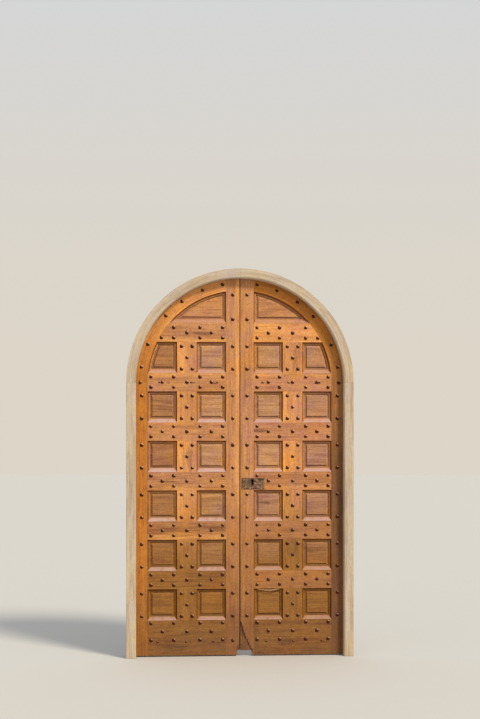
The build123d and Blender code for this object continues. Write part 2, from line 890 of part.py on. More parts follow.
# Studs, bolts and straps
lock_edge_height = row_top(lock_rail_number) - leaf_foot
bare_place = (rail_stud_corners[0], lock_edge_height + stud_rows[0])
save(fasteners(missing=[bare_place]), "right_studs_and_bolts")
save(mirrored(fasteners(extra=[(stile_stud_line, left_foot_stud)])), "left_studs_and_bolts")
save_pair(strap(upper_strap_height), "upper_strap")
save_pair(strap(lower_strap_height), "lower_strap")

# Bolts and lock
save(top_bolt(), "top_bolt")
save(bottom_bolt(), "bottom_bolt")
save(bolt_guides(), "bolt_guides")
save(lock_patch(), "lock_patch")
save(lock_case(), "lock_case")
save(lock_bolt(), "lock_bolt")
save(lock_keeper(), "lock_keeper")
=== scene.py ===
import math

import bmesh
import bpy
import numpy as np
from bpy.props import FloatProperty, FloatVectorProperty, IntProperty, PointerProperty
from mathutils import Euler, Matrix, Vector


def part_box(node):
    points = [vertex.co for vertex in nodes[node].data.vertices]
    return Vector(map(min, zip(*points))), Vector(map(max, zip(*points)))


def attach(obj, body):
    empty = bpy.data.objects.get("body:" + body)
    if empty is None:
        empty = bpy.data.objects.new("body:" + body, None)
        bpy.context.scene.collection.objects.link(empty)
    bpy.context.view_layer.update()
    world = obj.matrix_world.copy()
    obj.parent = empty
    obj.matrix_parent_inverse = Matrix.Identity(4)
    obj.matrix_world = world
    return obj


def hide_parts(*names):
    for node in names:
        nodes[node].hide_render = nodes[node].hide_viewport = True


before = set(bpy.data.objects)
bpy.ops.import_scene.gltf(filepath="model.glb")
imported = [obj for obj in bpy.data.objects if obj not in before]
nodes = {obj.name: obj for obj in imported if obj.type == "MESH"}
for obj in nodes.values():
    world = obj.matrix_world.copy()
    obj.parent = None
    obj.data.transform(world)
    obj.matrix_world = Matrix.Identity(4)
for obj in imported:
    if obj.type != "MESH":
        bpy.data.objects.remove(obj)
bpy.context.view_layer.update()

bl_info = {
    "name": "Arched Oak Door",
    "version": (1, 0, 0),
    "blender": (4, 5, 0),
    "location": "3D View > Sidebar > Oak Door",
    "description": "Dresses an arched double-leaf oak door: timber, mouldings and ironwork",
    "category": "Object",
}

MM = 0.001
SIDES = {"right": 1.0, "left": -1.0}
# Axis that the grain of a member follows
UPRIGHT, LEVEL = 2, 0


def low(node, axis):
    """Lowest place of a CAD node along an axis."""
    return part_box(node)[0][axis]


def high(node, axis):
    """Highest place of a CAD node along an axis."""
    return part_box(node)[1][axis]


def colour(sheet_value):
    """Linear colour of an sRGB hex value."""
    parts = [int(sheet_value[place:place + 2], 16) / 255 for place in (1, 3, 5)]
    return [part / 12.92 if part <= 0.04045 else ((part + 0.055) / 1.055) ** 2.4 for part in parts]


# Where the leaf's members lie, read from the frame
FACE = low("right_meeting_stile", 1)
STILE_LINE = high("right_meeting_stile", 0)
MUNTIN_LEFT, MUNTIN_RIGHT = low("right_muntins", 0), high("right_muntins", 0)
GRID_RADIUS = low("right_hinge_stile", 0)
SPRINGING = high("right_hinge_stile", 2)
RAILS = ["rail_%d" % number for number in range(1, 7)] + ["bottom_rail"]
GROOVE_DEPTH = high("right_mouldings", 1) - FACE
FIRST_ROW = high("right_bottom_rail", 2)
ROW_PITCH = low("right_rail_5", 2) - low("right_rail_6", 2)
ROW_SHARE = (low("right_rail_6", 2) - FIRST_ROW) / ROW_PITCH
FIELD_DEPTH = low("right_panels_row_6", 1)
MARGIN_DEPTH = FIELD_DEPTH + 7 * MM
BOARD_PITCH = high("right_lining_boards", 0) / 6

# How far the grain is moved up from board to board, and the golden section
BOARD_LIFT = 0.73
GOLDEN_SECTION = 0.618

# Stage: floor, sky, sun and camera; turns and the sun's width are in degrees
FLOOR_RADIUS = 30.0
FLOOR_CORNERS = 64
SKY_STRENGTH = 0.80
SUN_ENERGY = 3.0
SUN_WIDTH = 14
SUN_TURNS = (48, 0, 36)
CAMERA_PLACE = (-0.80, FACE - 10.6, 1.63)
CAMERA_TURNS = (90, 0, -4.32)
CAMERA_LENS = 80.4
CAMERA_FILM = 36.0
CAMERA_SHIFT = 0.07
CAMERA_REACH = 60.0
FLOOR_TONE = colour("#C4C1BA")
HORIZON_TONE = colour("#F3EBDD")
ZENITH_TONE = colour("#E6ECF4")
SUN_TONE = colour("#FFF4E2")

# Tones of small places: a painted highlight along a rail's lower edge, torn fibres of the patch
# over the lock, rust, and the dull bloom of the ironwork that stays indoors, with a painted glint
PAINTED_EDGE_HIGHLIGHT = colour("#E2A055")
TORN_TONE = colour("#C4A684")
RUST_TONE = colour("#52260F")
INDOOR_BLOOM_AND_GLINT = colour("#4A3C33")

# Shades that a ground colour is multiplied by, as shares of red, green and blue
ROSY_PATCH = (0.93, 0.88, 0.98)
GOLDEN_PATCH = (1.0, 0.98, 0.68)
GOLDEN_DRIFT = (1.10, 1.02, 0.66)
ROSY_DRIFT = (0.95, 0.93, 1.18)
BROAD_BAND = (0.74, 0.66, 0.58)
GROWTH_RING = (0.66, 0.56, 0.47)
FINE_STREAK = (0.66, 0.58, 0.52)
OPEN_PORE = (0.5, 0.41, 0.34)
DARK_GRIT = (0.80, 0.74, 0.70)
PALE_GRIT = (1.12, 1.08, 0.98)
DARK_BOARD = (0.72, 0.69, 0.66)
DARK_MOULDING = (0.78, 0.72, 0.66)
# Painted shade in the mouldings' hollows and on their faces turned from the light
MOULDING_PAINTED_SHADE = (0.28, 0.16, 0.06)
# Painted shade and painted highlight on a raised field's bevels, by which way they face
BEVEL_PAINTED_SHADE = (0.24, 0.14, 0.07)
BEVEL_PAINTED_HIGHLIGHT = (1.20, 1.25, 1.32)
# Painted shade in corners and recesses
CORNER_PAINTED_SHADE = (0.34, 0.22, 0.13)
WEATHER_STAIN = (0.20, 0.14, 0.10)
CRACK_SHADE = (0.30, 0.22, 0.17)
# Painted shade and dirt in the gap between the leaves
GAP_DIRT_AND_SHADE = (0.10, 0.05, 0.03)

# Dark marks of weather and rust on the framing: place across and up, half sizes, strength
WEATHER_MARKS = (
    (-0.240, 2.135, 0.075, 0.014, 0.55), (0.130, 1.492, 0.055, 0.014, 0.60),
    (-0.470, 1.155, 0.080, 0.005, 0.60), (-0.475, 1.808, 0.014, 0.005, 0.70),
    (-0.310, 1.808, 0.014, 0.005, 0.70), (-0.168, 1.806, 0.020, 0.005, 0.70),
    (0.152, 1.808, 0.018, 0.005, 0.70), (0.327, 1.808, 0.012, 0.005, 0.70),
    (0.503, 1.806, 0.012, 0.005, 0.60), (-0.335, 1.320, 0.024, 0.080, 0.35),
    (0.330, 0.830, 0.070, 0.020, 0.22), (0.345, 0.720, 0.050, 0.060, 0.20),
    (-0.155, 0.845, 0.060, 0.016, 0.45), (-0.310, 0.418, 0.030, 0.007, 0.70),
    (0.300, 0.090, 0.060, 0.030, 0.30), (-0.420, 0.060, 0.080, 0.030, 0.30),
    (0.352, 1.967, 0.080, 0.130, 0.18), (-0.352, 1.640, 0.080, 0.130, 0.15),
    (-0.352, 0.988, 0.080, 0.130, 0.12), (-0.050, 0.130, 0.080, 0.200, 0.35),
    (0.055, 0.130, 0.080, 0.200, 0.28),
)
# A crack in the left hinge stile and a knot in a right panel, in the same form, and how many
# marks follow the crack of the split-off foot
HINGE_STILE_CRACK = (-0.666, 0.559, 3 * MM, 18 * MM, 0.8)
PANEL_KNOT = [(0.160, 1.016, 46 * MM, 9 * MM, 0.55), (0.185, 1.008, 24 * MM, 7 * MM, 0.5)]
CRACK_MARKS = 9

# Place of the keyhole across the face, and its height over the middle of the patch
KEYHOLE_ACROSS = 0.083
KEYHOLE_RISE = 8 * MM

# Loosened lip of a moulding: its two ends across and up, and how far it bows, its width and
# its thickness
LIP_START = (0.116, 0.4440)
LIP_END = (0.264, 0.4440)
LIP_SIZES = (9 * MM, 9 * MM, 3 * MM)

# How near loose corners are joined, and from what angle on an edge is sharp, on the new pieces
# and on the CAD nodes
JOIN_NEW, JOIN_NODES = 0.005 * MM, 0.02 * MM
SHARP_NEW, SHARP_NODES = math.radians(32), math.radians(40)

# Steps of the new pieces' meshes
EDGE_STEPS = 9
ARC_STEPS = 25
CORNER_STEPS = 5
SLOPE_STEPS = 9
HEAD_TURNS = 12
LIP_STEPS = 33
LIP_TURNS = 12

# Forged heads from rim to point, and nuts from their back to their face: reach and height of
# each ring as shares of the whole
HEAD_REACH = (0.95, 1.0, 0.78, 0.42, 0.14)
HEAD_RISE = (0.0, 0.17, 0.45, 0.82, 0.97)
NUT_REACH = (1.0, 1.0, 0.86)
NUT_RISE = (0.0, 0.8, 1.0)

# Hand-made differences of the heads as shares of their size: width, height, leaning point and
# uneven outline; nuts have a fifth of them
WIDTH_SPREAD, HEIGHT_LOSS, LEANING, UNEVENNESS = 0.07, 0.18, 0.12, 0.03
NUT_ROUGHNESS = 0.2


# Sizes and colours that a user would change

def length(title, text, millimetres):
    """A length for the sidebar, given in millimetres."""
    return FloatProperty(name=title, description=text, default=millimetres * MM,
                         min=0.0, unit="LENGTH", subtype="DISTANCE")


def tint(title, text, sheet_value):
    """A colour for the sidebar, given as an sRGB hex value."""
    return FloatVectorProperty(name=title, description=text, default=colour(sheet_value),
                               min=0.0, max=1.0, size=3, subtype="COLOR")


class DoorSizes(bpy.types.PropertyGroup):
    arris: length("Arris", "Worn edge of the framing members", 1.6)
    iron_arris: length("Iron arris", "Rounded edge of the forged straps and bolts", 0.8)
    slope_width: length("Moulding width", "Slope at a panel's sides and top", 12.0)
    slope_depth: length("Moulding depth", "How far the slope falls back from the face", 14.0)
    sill_width: length("Sill width", "Slope below a panel, which sheds the rain", 24.0)
    ledge_width: length("Ledge", "Flat between the slope and the panel", 5.0)
    sill_corner: length("Sill corner", "Rounding where the sill meets the side slopes", 9.0)
    stud_width: length("Stud width", "Base of a stud head", 22.5)
    bolt_width: length("Bolt head width", "Small heads of the straps' bolts", 13.0)
    bolt_rise: length("Bolt head rise", "How far they stand out", 6.0)
    nut_width: length("Nut width", "Square nuts on the straps", 20.0)
    nut_height: length("Nut height", "How far they stand out of the back", 8.0)
    stud_turn: FloatProperty(name="Stud turn", description="Largest turn of a stud out of square",
                             default=math.radians(5.0), subtype="ANGLE")
    stud_corner: FloatProperty(name="Stud squareness", default=3.4, min=2.0,
                               description="Power of the rounded square that a stud head is")
    seed: IntProperty(name="Seed", description="Draw of the hand-made differences", default=7)


class DoorColours(bpy.types.PropertyGroup):
    tan: tint("Tan oak", "Stiles and upper rails", "#C48A5A")
    golden: tint("Golden oak", "Lighter rails and muntins", "#E6A25A")
    rosy: tint("Rosy oak", "Weathered rails", "#C48860")
    panel: tint("Panel oak", "Raised panels", "#BD8E69")
    dusty: tint("Dusty oak", "Outer panels of the right leaf", "#B3836A")
    orange: tint("Orange oak", "Hinge stile and curved head", "#C07A1E")
    amber: tint("Amber oak", "Lower rails of the right leaf", "#A46E38")
    brown: tint("Brown oak", "Lower rails and the leaves' feet", "#95641C")
    umber: tint("Umber oak", "Shaded hinge stile of the right leaf", "#7C5228")
    worn: tint("Worn oak", "Patch over the lock", "#8B6A4C")
    # The silvered sills are washed by rain and also carry a painted highlight where they face up
    silvered: tint("Silvered oak", "Sills, washed by the rain", "#BC9C95")
    limed: tint("Limed oak", "Frame round the leaves", "#C2B29C")
    bare: tint("Bare oak", "Lining boards, which stay indoors", "#AE8858")
    iron: tint("Forged iron", "Studs and ironwork", "#431B0B")
    # The pale bloom is partly a painted glint on the heads' faces toward the light
    bloom_and_glint: tint("Pale bloom", "Weathered tops of the stud heads", "#DCB084")


# Materials

def feed(item, inputs):
    """Sets a node's inputs, each to a value, a socket or another node's first output."""
    for place, value in inputs.items():
        if isinstance(value, bpy.types.Node):
            value = value.outputs[0]
        if isinstance(value, bpy.types.NodeSocket):
            item.id_data.links.new(value, item.inputs[place])
        else:
            item.inputs[place].default_value = value


def add(tree, kind, inputs=None, **settings):
    """Adds a shader node with its settings, values and links."""
    item = tree.nodes.new("ShaderNode" + kind)
    for name, value in settings.items():
        setattr(item, name, value)
    feed(item, inputs or {})
    return item


def material(name, roughness, metallic=0.0, specular=0.5):
    """A material with a bare shader, and its node tree."""
    made = bpy.data.materials.new(name)
    made.use_nodes = True
    tree = made.node_tree
    tree.nodes.clear()
    shader = add(tree, "BsdfPrincipled", {
        "Roughness": roughness, "Metallic": metallic, "Specular IOR Level": specular})
    add(tree, "OutputMaterial", {"Surface": shader})
    return made, tree, shader


def share_of(tree, *steps):
    """Product of the steps, as a share from 0 to 1.

    A step is a share itself, or a value with the start and end of a smooth step and, unless
    they are 0 and 1, with what the step goes from and to.
    """
    product = None
    for step in steps:
        if isinstance(step, tuple):
            value, start, end, first, last = (*step, 0.0, 1.0)[:5]
            step = add(tree, "MapRange", {
                "Value": value, "From Min": start, "From Max": end, "To Min": first,
                "To Max": last}, interpolation_type="SMOOTHSTEP")
        if product is not None:
            step = add(tree, "Math", {0: product, 1: step}, operation="MULTIPLY")
        product = step
    return product


def tinge(tree, ground, shade, *steps, blend="MULTIPLY"):
    """The ground colour with a shade over it, as strong as the product of the steps."""
    under, over = (item if isinstance(item, bpy.types.NodeSocket) else (*item, 1.0)
                   for item in (ground, shade))
    # Of the node's sockets, 0 is the share, 6 and 7 are the two colours, and 2 is their mixture
    return add(tree, "Mix", {0: share_of(tree, *steps), 6: under, 7: over},
               data_type="RGBA", blend_type=blend).outputs[2]


def streaks(tree, place, grain, across, along, detail, shift):
    """Noise drawn out along the grain: across and along are the streaks' sizes in metres."""
    scale = [1 / across] * 3
    scale[grain] = 1 / along
    moved = add(tree, "Mapping", {
        "Vector": place, "Scale": scale, "Location": (shift, shift * 0.7, shift * 1.3)})
    return add(tree, "TexNoise", {
        "Vector": moved, "Scale": 1.0, "Detail": detail, "Roughness": 0.6})


def curved_flow(tree, x, y, height):
    """Place on a round head: distance from its centre, depth, and length along its arc."""
    rise = add(tree, "Math", {0: height, 1: SPRINGING}, operation="SUBTRACT")
    level = add(tree, "CombineXYZ", {0: x, 2: rise})
    radius = add(tree, "VectorMath", {0: level}, operation="LENGTH").outputs["Value"]
    turn = add(tree, "Math", {0: rise, 1: x}, operation="ARCTAN2")
    run = add(tree, "Math", {0: turn, 1: GRID_RADIUS}, operation="MULTIPLY")
    return add(tree, "CombineXYZ", {0: radius, 1: y, 2: run})


def board_flow(tree, x, y, height, pitch):
    """Place on upright boards, moved up from board to board, and each board's own darkness.

    The darkness is the fraction of the board's number, counted from 1, times the golden section.
    """
    across = add(tree, "Math", {0: x}, operation="ABSOLUTE")
    count = add(tree, "Math", {0: across, 1: pitch}, operation="DIVIDE")
    number = add(tree, "Math", {0: count}, operation="FLOOR")
    lifted = add(tree, "Math", {0: number, 1: BOARD_LIFT, 2: height}, operation="MULTIPLY_ADD")
    golden = add(tree, "Math", {0: number, 1: GOLDEN_SECTION, 2: GOLDEN_SECTION},
                 operation="MULTIPLY_ADD")
    darkness = add(tree, "Math", {0: golden}, operation="FRACT")
    return add(tree, "CombineXYZ", {0: x, 1: y, 2: lifted}), darkness


def paint_edge_highlight(tree, ground, height, above):
    """Painted highlight: a light strip along the rails, between two heights above their lower edge.
    """
    rows = add(tree, "Math", {0: height, 1: 1 / ROW_PITCH, 2: -FIRST_ROW / ROW_PITCH},
               operation="MULTIPLY_ADD")
    share = add(tree, "Math", {0: rows}, operation="FRACT")
    start, end = (ROW_SHARE + reach / ROW_PITCH for reach in above)
    return tinge(tree, ground, PAINTED_EDGE_HIGHLIGHT, (share, start, end, 0.0, 0.55), blend="MIX")


def bevelled_field(tree, ground, normal, y):
    """Bevel round a raised field: painted shade where it faces left or down, painted highlight
    right or up.
    """
    facing = add(tree, "VectorMath", {0: normal, 1: (1.0, 0.0, 1.0)},
                 operation="DOT_PRODUCT").outputs["Value"]
    bevel = share_of(tree, (y, FIELD_DEPTH + 0.5 * MM, FIELD_DEPTH + 3 * MM),
                     (y, MARGIN_DEPTH - 0.05 * MM, MARGIN_DEPTH - 0.5 * MM, 0.10, 1.0))
    ground = tinge(tree, ground, BEVEL_PAINTED_SHADE, bevel, (facing, 0.1, -0.4, 0.0, 0.62))
    return tinge(tree, ground, BEVEL_PAINTED_HIGHLIGHT, bevel, (facing, 0.1, 0.5))


def smudge(tree, ground, place, mark):
    """A stain: the ground darkened inside a soft-edged oval of the leaf's face.

    It fades with the squares of the distances across and up, each over the oval's half size.
    """
    x, z, half_x, half_z, strength = mark
    offset = add(tree, "VectorMath", {
        0: place, 1: (1 / half_x, 0.0, 1 / half_z), 2: (-x / half_x, 0.0, -z / half_z)},
        operation="MULTIPLY_ADD")
    far = add(tree, "VectorMath", {0: offset, 1: offset}, operation="DOT_PRODUCT").outputs["Value"]
    return tinge(tree, ground, WEATHER_STAIN, (far, 1.3, 0.3, 0.0, strength))


def torn_fibres(tree, ground, flow, cracks):
    """Worn timber: pale torn fibres and dark cracks between them."""
    torn = add(tree, "TexNoise", {
        "Vector": flow, "Scale": 1 / (17 * MM), "Detail": 4.0, "Roughness": 0.7,
        "Distortion": 1.5})
    ground = tinge(tree, ground, TORN_TONE, (torn, 0.55, 0.64, 0.0, 0.7 * cracks), blend="MIX")
    return tinge(tree, ground, CRACK_SHADE, (torn, 0.50, 0.43, 0.0, cracks))


def growth(tree, ground, place, flow, grain, shift, streak, mottling):
    """Growth of the timber over its ground colour, its patches, and the relief of its grain.

    Bands, rings, streaks and pores are drawn out along the grain and bent by a slow wave.
    Patches and drifts turn it rosy or golden, and grit lies on it.
    """
    wave = add(tree, "TexNoise", {"Vector": flow, "Scale": 3.0, "Detail": 1.0}).outputs[1]
    bent = add(tree, "VectorMath", {0: wave, 1: (0.03, 0.03, 0.03), 2: flow},
               operation="MULTIPLY_ADD")
    broad = streaks(tree, bent, grain, 45 * MM, 600 * MM, 2.0, shift)
    # Rings are drawn 9 mm apart, coarser than real oak's 2 to 4 mm, so that they show
    rings = streaks(tree, bent, grain, 9 * MM, 300 * MM, 3.0, shift + 3)
    fine = streaks(tree, bent, grain, 2.2 * MM, 60 * MM, 3.0, shift + 5)
    pores = streaks(tree, bent, grain, 1.3 * MM, 14 * MM, 1.0, shift + 7)
    patches, drift, grit = (
        add(tree, "TexNoise", {
            "Vector": where, "Scale": 1 / size, "Detail": detail, "Roughness": roughness})
        for where, size, detail, roughness in (
            (bent, 85 * MM, 3.0, 0.55), (bent, 230 * MM, 2.0, 0.5), (place, 14 * MM, 3.0, 0.6)))
    for shade, pattern, start, end, strength in (
            (ROSY_PATCH, patches, 0.46, 0.68, mottling),
            (GOLDEN_PATCH, patches, 0.56, 0.34, mottling),
            (GOLDEN_DRIFT, drift, 0.50, 0.66, mottling),
            (ROSY_DRIFT, drift, 0.48, 0.34, mottling),
            (BROAD_BAND, broad, 0.56, 0.34, 1.1 * streak),
            (GROWTH_RING, rings, 0.54, 0.36, 1.2 * streak),
            (FINE_STREAK, fine, 0.50, 0.34, streak),
            (OPEN_PORE, pores, 0.40, 0.28, streak),
            (DARK_GRIT, grit, 0.42, 0.64, 0.75 * mottling),
            (PALE_GRIT, grit, 0.46, 0.32, 0.75 * mottling)):
        ground = tinge(tree, ground, shade, (pattern, start, end, 0.0, strength))
    relief = add(tree, "Math", {0: rings, 1: fine, 2: pores}, operation="MULTIPLY_ADD")
    return ground, patches, relief


def oak(name, head, foot, grain, shift=0.0, streak=0.5, round_head=False, side_tones=None,
        edge_highlight=None, fielded=False, gap_shade_and_dirt=False, stains=(), fall=(0.35, 1.35),
        mottling=0.9, cracks=0.0, board_pitch=None):
    """Sawn and oiled oak, weathered: drawn-out growth rings, open pores and mottled colour.

    The eye gets soft streaks along the grain (axis number grain), short dark pores, golden and
    rosy patches, painted shade in the corners, and the head's tone falling to the foot's between
    the two heights of fall. Shift moves the pattern, so that it differs from timber to timber.
    On a round head the grain follows the curve, and with a board pitch every board differs.
    Side tones are a start, an end and the tone that the timber takes between them, and an edge
    highlight is a painted highlight between a pair of heights above a rail's lower edge. Fielded
    timber has painted shade on its bevels where they face left or down and a painted highlight
    where they face right or up, and beside the line where the leaves meet, painted shade and dirt
    darken the gap's edge. What comes back is the material, its node tree, its shader and the
    finished colour.
    """
    made, tree, shader = material(name, 0.74)
    coordinates = add(tree, "TexCoord").outputs
    place = coordinates["Object"]
    x, y, height = add(tree, "SeparateXYZ", {0: place}).outputs[:3]
    across = add(tree, "Math", {0: x}, operation="ABSOLUTE")
    flow = curved_flow(tree, x, y, height) if round_head else place
    if side_tones:
        start, end, tone = side_tones
        head = tinge(tree, head, tone, (across if fielded else x, start, end, 0.0, 0.75),
                     blend="MIX")
    ground = tinge(tree, foot, head, (height, *fall), blend="MIX")
    if board_pitch:
        flow, darkness = board_flow(tree, x, y, height, board_pitch)
        ground = tinge(tree, ground, DARK_BOARD, (darkness, 0.0, 1.0, 0.0, 0.8))
    # Painted highlight along the rail's lower edge
    if edge_highlight:
        ground = paint_edge_highlight(tree, ground, height, edge_highlight)
    ground, patches, relief = growth(tree, ground, place, flow, grain, shift, streak, mottling)
    # Painted shade and painted highlight on the field's bevels, by which way they face
    if fielded:
        ground = bevelled_field(tree, ground, coordinates["Normal"], y)
    if cracks:
        ground = torn_fibres(tree, ground, flow, cracks)
    # Painted shade in the gap between the leaves, with some dirt: darkest at the foot and in front
    if gap_shade_and_dirt:
        ground = tinge(tree, ground, GAP_DIRT_AND_SHADE, (across, 4.6 * MM, 3.0 * MM, 0.0, 0.94),
                       (height, 0.6, 2.0, 1.0, 0.2), (y, FACE + 32 * MM, FACE + 12 * MM))
    for mark in stains:
        ground = smudge(tree, ground, place, mark)
    # Painted shade in corners and recesses, from ambient occlusion
    corners = add(tree, "AmbientOcclusion", {"Distance": 9 * MM}, samples=6)
    ground = tinge(tree, ground, CORNER_PAINTED_SHADE, (corners.outputs["AO"], 0.82, 0.45, 0.0, 0.55))
    bump = add(tree, "Bump", {"Height": relief, "Strength": 0.5, "Distance": 0.7 * MM})
    feed(shader, {"Base Color": ground, "Normal": bump,
                  "Roughness": share_of(tree, (patches, 0.3, 0.7, 0.62, 0.82))})
    return made, tree, shader, ground


def planted_oak(colours):
    """Oak mouldings, planed and planted: painted shade in their hollows, and sills washed pale by
    rain and lightened by a painted highlight.
    """
    made, tree, shader, ground = oak("planted_oak", colours.tan, colours.brown, LEVEL, 11.0, 0.35)
    washed, grimy, tone = (add(tree, "Attribute", attribute_name=name).outputs["Fac"]
                           for name in ("washed", "grimy", "tone"))
    place = add(tree, "TexCoord").outputs["Object"]
    x, y, height = add(tree, "SeparateXYZ", {0: place}).outputs[:3]
    patchy = add(tree, "TexNoise", {"Vector": place, "Scale": 1 / (35 * MM), "Detail": 4.0})
    ground = tinge(tree, ground, DARK_MOULDING, (tone, 0.0, 1.0, 0.0, 0.4))
    # Sills: pale from the rain's washing and from a painted highlight on their upward slope
    ground = tinge(tree, ground, colours.silvered, washed, (height, 0.2, 1.2, 0.55, 0.95),
                   (height, 2.10, 1.55, 0.3, 1.0), (x, -0.05, 0.05, 1.0, 0.78),
                   (patchy, 0.30, 0.52, 0.6, 1.0), blend="MIX")
    # Painted shade in the hollows and on faces turned from the light
    ground = tinge(tree, ground, MOULDING_PAINTED_SHADE, grimy)
    feed(shader, {"Base Color": ground, "Specular IOR Level": 0.2})
    return made


def forged_iron(name, tone, bloom_and_glint, bloom_and_glint_share):
    """Hammered and oxidised iron: uneven dull planes with brown patina, a pale bloom and a painted
    glint.

    The bloom, with its painted glint, is strongest on faces that look up and to the right, toward
    the light, and weaker near the ground.
    """
    made, tree, shader = material(name, 0.55, metallic=0.2, specular=0.15)
    coordinates = add(tree, "TexCoord").outputs
    place = coordinates["Object"]
    height = add(tree, "SeparateXYZ", {0: place}).outputs[2]
    facing = add(tree, "VectorMath", {0: coordinates["Normal"], 1: (0.6, 0.0, 0.8)},
                 operation="DOT_PRODUCT").outputs["Value"]
    dents = add(tree, "TexNoise", {"Vector": place, "Scale": 1 / (7 * MM), "Detail": 2.0})
    rust = add(tree, "TexNoise", {
        "Vector": place, "Scale": 1 / (11 * MM), "Detail": 5.0, "Roughness": 0.7})
    ground = tinge(tree, tone, RUST_TONE, (rust, 0.42, 0.66), blend="MIX")
    # Pale bloom with a painted glint on faces that look up and to the right, toward the light
    ground = tinge(tree, ground, bloom_and_glint, (facing, 0.36, 0.62),
                   (rust, 0.30, 0.6, 0.2, bloom_and_glint_share), (height, 0.3, 1.4, 0.55, 1.0), blend="MIX")
    bump = add(tree, "Bump", {"Height": dents, "Strength": 0.5, "Distance": 1.0 * MM})
    feed(shader, {"Base Color": ground, "Normal": bump,
                  "Roughness": share_of(tree, (rust, 0.3, 0.7, 0.50, 0.80))})
    return made


def dress(names, made, arris):
    """Gives CAD nodes a material, and rounds their edges once the loose triangles are joined."""
    for name in names:
        for place in nodes[name].material_slots:
            place.material = made
        join = nodes[name].modifiers.new("joined", "WELD")
        join.merge_threshold = JOIN_NODES
        worn = nodes[name].modifiers.new("worn_edges", "BEVEL")
        worn.width = arris
        worn.segments = 2
        worn.limit_method = "ANGLE"
        worn.angle_limit = SHARP_NODES
        worn.harden_normals = False


def both(*names):
    """Names of pieces that come as a right and a left one."""
    return [side + "_" + name for side in SIDES for name in names]


def marks_on(names):
    """Weather marks whose middle lies in front of one of these nodes."""
    boxes = [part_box(name) for name in names]
    return [mark for mark in WEATHER_MARKS
            if any(near[0] <= mark[0] <= far[0] and near[2] <= mark[1] <= far[2]
                   for near, far in boxes)]


def crack_marks():
    """Dark marks strung along the crack, where the split-off corner leaves the stile."""
    node = "right_split_foot"
    corners = corners_at(nodes[node].data, low(node, 1))
    edge = corners[corners[:, 0] > 8 * MM]
    edge = edge[np.argsort(edge[:, 1])]
    heights = np.linspace(edge[0, 1], edge[-1, 1], CRACK_MARKS)
    across = np.interp(heights, edge[:, 1], edge[:, 0])
    # Every second mark is shifted and narrower, so that the crack looks jagged
    return [(x + (number % 2) * 3 * MM, z, (7 - 3 * (number % 2)) * MM, 15 * MM, 0.8)
            for number, (x, z) in enumerate(zip(across.tolist(), heights.tolist()))]


# New pieces

def surface(name, points, faces, body, slot, made, layers=None):
    """Object of a mesh worked out as arrays, riding on a body.

    A face whose four corner numbers hold one twice is a triangle. Faces are turned outwards.
    """
    mesh = bpy.data.meshes.new(name)
    corners = [list(dict.fromkeys(face)) for face in faces.reshape(-1, 4).tolist()]
    mesh.from_pydata(points.reshape(-1, 3), [], corners)
    for title, values in (layers or {}).items():
        layer = mesh.attributes.new(title, "FLOAT", "FACE")
        layer.data.foreach_set("value", np.asarray(values, dtype=np.float32).ravel())
    shell = bmesh.new()
    shell.from_mesh(mesh)
    bmesh.ops.remove_doubles(shell, verts=shell.verts, dist=JOIN_NEW)
    bmesh.ops.recalc_face_normals(shell, faces=shell.faces)
    shell.to_mesh(mesh)
    shell.free()
    mesh.shade_smooth()
    mesh.set_sharp_from_angle(angle=SHARP_NEW)
    mesh.materials.append(made)
    made_object = bpy.data.objects.new(name, mesh)
    bpy.context.scene.collection.objects.link(made_object)
    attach(made_object, body)
    return made_object


def quads(rows, columns, wrap_rows=False, wrap_columns=False):
    """Corner numbers of a grid's four-sided faces, row by row."""
    row = np.arange(rows if wrap_rows else rows - 1)[:, None]
    column = np.arange(columns if wrap_columns else columns - 1)[None, :]
    next_row, next_column = (row + 1) % rows, (column + 1) % columns
    return np.stack([row * columns + column, next_row * columns + column,
                     next_row * columns + next_column, row * columns + next_column], axis=-1)


def tube_faces(levels, turns):
    """Faces of a tube of rings, closed by fans round two middles numbered after the rings."""
    step = np.arange(turns)
    following = (step + 1) % turns
    fans = []
    for number, first in enumerate((0, (levels - 1) * turns)):
        middle = np.full(turns, levels * turns + number)
        fans.append(np.stack([first + step, first + following, middle, middle], axis=1))
    return np.concatenate([quads(levels, turns, False, True).reshape(-1, 4), *fans])


def joined(parts):
    """Points and faces of several meshes as one."""
    starts = np.cumsum([0] + [len(points) for points, faces in parts[:-1]])
    return (np.concatenate([points for points, faces in parts]),
            np.concatenate([faces + start for (points, faces), start in zip(parts, starts)]))


def row_openings():
    """The openings of a leaf: left, right, low and high sides, from the members' boxes."""
    found = []
    for upper, lower in zip(RAILS[:-1], RAILS[1:]):
        bottom, top = high("right_" + lower, 2), low("right_" + upper, 2)
        found.append((STILE_LINE, MUNTIN_LEFT, bottom, top))
        found.append((MUNTIN_RIGHT, GRID_RADIUS, bottom, top))
    found.append((STILE_LINE, GRID_RADIUS, high("right_rail_1", 2), SPRINGING + GRID_RADIUS))
    return found


def ring_corners(opening, side, foot):
    """Corners of an opening drawn in by side, and by foot below, and its edge on the round head.

    The edge is the number of the one that follows the head, or None in the square openings.
    """
    left, right, bottom, top = opening
    x_low, x_high, z_low, z_high = left + side, right - side, bottom + foot, top - side
    reach = GRID_RADIUS - side
    if math.hypot(right, max(top - SPRINGING, 0)) <= GRID_RADIUS + 1e-6:
        return [(x_low, z_low), (x_high, z_low), (x_high, z_high), (x_low, z_high)], None

    def across(z):
        """Place across of the round head at a height."""
        return math.sqrt(reach ** 2 - (z - SPRINGING) ** 2)
    if z_high - SPRINGING < math.sqrt(reach ** 2 - x_low ** 2):
        return [(x_low, z_low), (across(z_low), z_low), (across(z_high), z_high),
                (x_low, z_high)], 1
    peak = SPRINGING + math.sqrt(reach ** 2 - x_low ** 2)
    return [(x_low, z_low), (across(z_low), z_low), (x_low, peak)], 1


